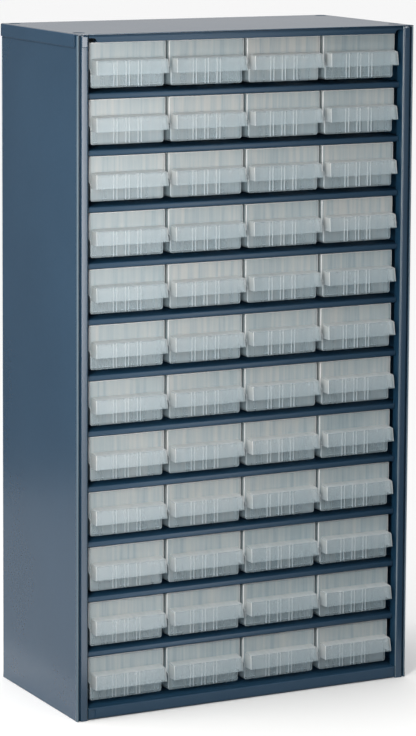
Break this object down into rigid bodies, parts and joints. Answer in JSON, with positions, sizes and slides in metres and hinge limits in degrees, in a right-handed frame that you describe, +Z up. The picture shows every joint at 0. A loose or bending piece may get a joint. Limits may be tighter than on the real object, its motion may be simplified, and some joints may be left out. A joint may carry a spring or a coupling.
{
  "type": "parts organizer cabinet",
  "caption": "Upright steel cabinet with rows of pull-out translucent plastic drawers for sorting screws, electronic parts and other small hardware.",
  "frame": {"origin": "on the flat underside, at the middle of the steel carcass (the drawer pulls stand out in front of it)", "axes": "+Z up, +X to the right as seen from the front, drawers pull out along -Y"},
  "size_m": [0.306, 0.1528, 0.552],
  "materials": {
    "painted_steel": "satin dark slate-blue powder coat",
    "translucent_plastic": "milky translucent moulded polypropylene, satin"
  },
  "bodies": {
    "cabinet": {"left_side_panel": "painted_steel", "right_side_panel": "painted_steel", "top_cover": "painted_steel", "top_front_rail": "painted_steel", "base_tray": "painted_steel", "shelf_rack": "painted_steel", "back_panel": "painted_steel"},
    "drawer_row01_col1": {"drawer_row01_col1": "translucent_plastic"},
    "drawer_row01_col2": {"drawer_row01_col2": "translucent_plastic"},
    "drawer_row01_col3": {"drawer_row01_col3": "translucent_plastic"},
    "drawer_row01_col4": {"drawer_row01_col4": "translucent_plastic"},
    "drawer_row02_col1": {"drawer_row02_col1": "translucent_plastic"},
    "drawer_row02_col2": {"drawer_row02_col2": "translucent_plastic"},
    "drawer_row02_col3": {"drawer_row02_col3": "translucent_plastic"},
    "drawer_row02_col4": {"drawer_row02_col4": "translucent_plastic"},
    "drawer_row03_col1": {"drawer_row03_col1": "translucent_plastic"},
    "drawer_row03_col2": {"drawer_row03_col2": "translucent_plastic"},
    "drawer_row03_col3": {"drawer_row03_col3": "translucent_plastic"},
    "drawer_row03_col4": {"drawer_row03_col4": "translucent_plastic"},
    "drawer_row04_col1": {"drawer_row04_col1": "translucent_plastic"},
    "drawer_row04_col2": {"drawer_row04_col2": "translucent_plastic"},
    "drawer_row04_col3": {"drawer_row04_col3": "translucent_plastic"},
    "drawer_row04_col4": {"drawer_row04_col4": "translucent_plastic"},
    "drawer_row05_col1": {"drawer_row05_col1": "translucent_plastic"},
    "drawer_row05_col2": {"drawer_row05_col2": "translucent_plastic"},
    "drawer_row05_col3": {"drawer_row05_col3": "translucent_plastic"},
    "drawer_row05_col4": {"drawer_row05_col4": "translucent_plastic"},
    "drawer_row06_col1": {"drawer_row06_col1": "translucent_plastic"},
    "drawer_row06_col2": {"drawer_row06_col2": "translucent_plastic"},
    "drawer_row06_col3": {"drawer_row06_col3": "translucent_plastic"},
    "drawer_row06_col4": {"drawer_row06_col4": "translucent_plastic"},
    "drawer_row07_col1": {"drawer_row07_col1": "translucent_plastic"},
    "drawer_row07_col2": {"drawer_row07_col2": "translucent_plastic"},
    "drawer_row07_col3": {"drawer_row07_col3": "translucent_plastic"},
    "drawer_row07_col4": {"drawer_row07_col4": "translucent_plastic"},
    "drawer_row08_col1": {"drawer_row08_col1": "translucent_plastic"},
    "drawer_row08_col2": {"drawer_row08_col2": "translucent_plastic"},
    "drawer_row08_col3": {"drawer_row08_col3": "translucent_plastic"},
    "drawer_row08_col4": {"drawer_row08_col4": "translucent_plastic"},
    "drawer_row09_col1": {"drawer_row09_col1": "translucent_plastic"},
    "drawer_row09_col2": {"drawer_row09_col2": "translucent_plastic"},
    "drawer_row09_col3": {"drawer_row09_col3": "translucent_plastic"},
    "drawer_row09_col4": {"drawer_row09_col4": "translucent_plastic"},
    "drawer_row10_col1": {"drawer_row10_col1": "translucent_plastic"},
    "drawer_row10_col2": {"drawer_row10_col2": "translucent_plastic"},
    "drawer_row10_col3": {"drawer_row10_col3": "translucent_plastic"},
    "drawer_row10_col4": {"drawer_row10_col4": "translucent_plastic"},
    "drawer_row11_col1": {"drawer_row11_col1": "translucent_plastic"},
    "drawer_row11_col2": {"drawer_row11_col2": "translucent_plastic"},
    "drawer_row11_col3": {"drawer_row11_col3": "translucent_plastic"},
    "drawer_row11_col4": {"drawer_row11_col4": "translucent_plastic"},
    "drawer_row12_col1": {"drawer_row12_col1": "translucent_plastic"},
    "drawer_row12_col2": {"drawer_row12_col2": "translucent_plastic"},
    "drawer_row12_col3": {"drawer_row12_col3": "translucent_plastic"},
    "drawer_row12_col4": {"drawer_row12_col4": "translucent_plastic"}
  },
  "joints": [
    {"name": "drawer_row01_col1_slide", "type": "slide", "parent": "cabinet", "child": "drawer_row01_col1", "axis": [0, -1, 0], "range_m": [0, 0.11]},
    {"name": "drawer_row01_col2_slide", "type": "slide", "parent": "cabinet", "child": "drawer_row01_col2", "axis": [0, -1, 0], "range_m": [0, 0.11]},
    {"name": "drawer_row01_col3_slide", "type": "slide", "parent": "cabinet", "child": "drawer_row01_col3", "axis": [0, -1, 0], "range_m": [0, 0.11]},
    {"name": "drawer_row01_col4_slide", "type": "slide", "parent": "cabinet", "child": "drawer_row01_col4", "axis": [0, -1, 0], "range_m": [0, 0.11]},
    {"name": "drawer_row02_col1_slide", "type": "slide", "parent": "cabinet", "child": "drawer_row02_col1", "axis": [0, -1, 0], "range_m": [0, 0.11]},
    {"name": "drawer_row02_col2_slide", "type": "slide", "parent": "cabinet", "child": "drawer_row02_col2", "axis": [0, -1, 0], "range_m": [0, 0.11]},
    {"name": "drawer_row02_col3_slide", "type": "slide", "parent": "cabinet", "child": "drawer_row02_col3", "axis": [0, -1, 0], "range_m": [0, 0.11]},
    {"name": "drawer_row02_col4_slide", "type": "slide", "parent": "cabinet", "child": "drawer_row02_col4", "axis": [0, -1, 0], "range_m": [0, 0.11]},
    {"name": "drawer_row03_col1_slide", "type": "slide", "parent": "cabinet", "child": "drawer_row03_col1", "axis": [0, -1, 0], "range_m": [0, 0.11]},
    {"name": "drawer_row03_col2_slide", "type": "slide", "parent": "cabinet", "child": "drawer_row03_col2", "axis": [0, -1, 0], "range_m": [0, 0.11]},
    {"name": "drawer_row03_col3_slide", "type": "slide", "parent": "cabinet", "child": "drawer_row03_col3", "axis": [0, -1, 0], "range_m": [0, 0.11]},
    {"name": "drawer_row03_col4_slide", "type": "slide", "parent": "cabinet", "child": "drawer_row03_col4", "axis": [0, -1, 0], "range_m": [0, 0.11]},
    {"name": "drawer_row04_col1_slide", "type": "slide", "parent": "cabinet", "child": "drawer_row04_col1", "axis": [0, -1, 0], "range_m": [0, 0.11]},
    {"name": "drawer_row04_col2_slide", "type": "slide", "parent": "cabinet", "child": "drawer_row04_col2", "axis": [0, -1, 0], "range_m": [0, 0.11]},
    {"name": "drawer_row04_col3_slide", "type": "slide", "parent": "cabinet", "child": "drawer_row04_col3", "axis": [0, -1, 0], "range_m": [0, 0.11]},
    {"name": "drawer_row04_col4_slide", "type": "slide", "parent": "cabinet", "child": "drawer_row04_col4", "axis": [0, -1, 0], "range_m": [0, 0.11]},
    {"name": "drawer_row05_col1_slide", "type": "slide", "parent": "cabinet", "child": "drawer_row05_col1", "axis": [0, -1, 0], "range_m": [0, 0.11]},
    {"name": "drawer_row05_col2_slide", "type": "slide", "parent": "cabinet", "child": "drawer_row05_col2", "axis": [0, -1, 0], "range_m": [0, 0.11]},
    {"name": "drawer_row05_col3_slide", "type": "slide", "parent": "cabinet", "child": "drawer_row05_col3", "axis": [0, -1, 0], "range_m": [0, 0.11]},
    {"name": "drawer_row05_col4_slide", "type": "slide", "parent": "cabinet", "child": "drawer_row05_col4", "axis": [0, -1, 0], "range_m": [0, 0.11]},
    {"name": "drawer_row06_col1_slide", "type": "slide", "parent": "cabinet", "child": "drawer_row06_col1", "axis": [0, -1, 0], "range_m": [0, 0.11]},
    {"name": "drawer_row06_col2_slide", "type": "slide", "parent": "cabinet", "child": "drawer_row06_col2", "axis": [0, -1, 0], "range_m": [0, 0.11]},
    {"name": "drawer_row06_col3_slide", "type": "slide", "parent": "cabinet", "child": "drawer_row06_col3", "axis": [0, -1, 0], "range_m": [0, 0.11]},
    {"name": "drawer_row06_col4_slide", "type": "slide", "parent": "cabinet", "child": "drawer_row06_col4", "axis": [0, -1, 0], "range_m": [0, 0.11]},
    {"name": "drawer_row07_col1_slide", "type": "slide", "parent": "cabinet", "child": "drawer_row07_col1", "axis": [0, -1, 0], "range_m": [0, 0.11]},
    {"name": "drawer_row07_col2_slide", "type": "slide", "parent": "cabinet", "child": "drawer_row07_col2", "axis": [0, -1, 0], "range_m": [0, 0.11]},
    {"name": "drawer_row07_col3_slide", "type": "slide", "parent": "cabinet", "child": "drawer_row07_col3", "axis": [0, -1, 0], "range_m": [0, 0.11]},
    {"name": "drawer_row07_col4_slide", "type": "slide", "parent": "cabinet", "child": "drawer_row07_col4", "axis": [0, -1, 0], "range_m": [0, 0.11]},
    {"name": "drawer_row08_col1_slide", "type": "slide", "parent": "cabinet", "child": "drawer_row08_col1", "axis": [0, -1, 0], "range_m": [0, 0.11]},
    {"name": "drawer_row08_col2_slide", "type": "slide", "parent": "cabinet", "child": "drawer_row08_col2", "axis": [0, -1, 0], "range_m": [0, 0.11]},
    {"name": "drawer_row08_col3_slide", "type": "slide", "parent": "cabinet", "child": "drawer_row08_col3", "axis": [0, -1, 0], "range_m": [0, 0.11]},
    {"name": "drawer_row08_col4_slide", "type": "slide", "parent": "cabinet", "child": "drawer_row08_col4", "axis": [0, -1, 0], "range_m": [0, 0.11]},
    {"name": "drawer_row09_col1_slide", "type": "slide", "parent": "cabinet", "child": "drawer_row09_col1", "axis": [0, -1, 0], "range_m": [0, 0.11]},
    {"name": "drawer_row09_col2_slide", "type": "slide", "parent": "cabinet", "child": "drawer_row09_col2", "axis": [0, -1, 0], "range_m": [0, 0.11]},
    {"name": "drawer_row09_col3_slide", "type": "slide", "parent": "cabinet", "child": "drawer_row09_col3", "axis": [0, -1, 0], "range_m": [0, 0.11]},
    {"name": "drawer_row09_col4_slide", "type": "slide", "parent": "cabinet", "child": "drawer_row09_col4", "axis": [0, -1, 0], "range_m": [0, 0.11]},
    {"name": "drawer_row10_col1_slide", "type": "slide", "parent": "cabinet", "child": "drawer_row10_col1", "axis": [0, -1, 0], "range_m": [0, 0.11]},
    {"name": "drawer_row10_col2_slide", "type": "slide", "parent": "cabinet", "child": "drawer_row10_col2", "axis": [0, -1, 0], "range_m": [0, 0.11]},
    {"name": "drawer_row10_col3_slide", "type": "slide", "parent": "cabinet", "child": "drawer_row10_col3", "axis": [0, -1, 0], "range_m": [0, 0.11]},
    {"name": "drawer_row10_col4_slide", "type": "slide", "parent": "cabinet", "child": "drawer_row10_col4", "axis": [0, -1, 0], "range_m": [0, 0.11]},
    {"name": "drawer_row11_col1_slide", "type": "slide", "parent": "cabinet", "child": "drawer_row11_col1", "axis": [0, -1, 0], "range_m": [0, 0.11]},
    {"name": "drawer_row11_col2_slide", "type": "slide", "parent": "cabinet", "child": "drawer_row11_col2", "axis": [0, -1, 0], "range_m": [0, 0.11]},
    {"name": "drawer_row11_col3_slide", "type": "slide", "parent": "cabinet", "child": "drawer_row11_col3", "axis": [0, -1, 0], "range_m": [0, 0.11]},
    {"name": "drawer_row11_col4_slide", "type": "slide", "parent": "cabinet", "child": "drawer_row11_col4", "axis": [0, -1, 0], "range_m": [0, 0.11]},
    {"name": "drawer_row12_col1_slide", "type": "slide", "parent": "cabinet", "child": "drawer_row12_col1", "axis": [0, -1, 0], "range_m": [0, 0.11]},
    {"name": "drawer_row12_col2_slide", "type": "slide", "parent": "cabinet", "child": "drawer_row12_col2", "axis": [0, -1, 0], "range_m": [0, 0.11]},
    {"name": "drawer_row12_col3_slide", "type": "slide", "parent": "cabinet", "child": "drawer_row12_col3", "axis": [0, -1, 0], "range_m": [0, 0.11]},
    {"name": "drawer_row12_col4_slide", "type": "slide", "parent": "cabinet", "child": "drawer_row12_col4", "axis": [0, -1, 0], "range_m": [0, 0.11]}
  ]
}
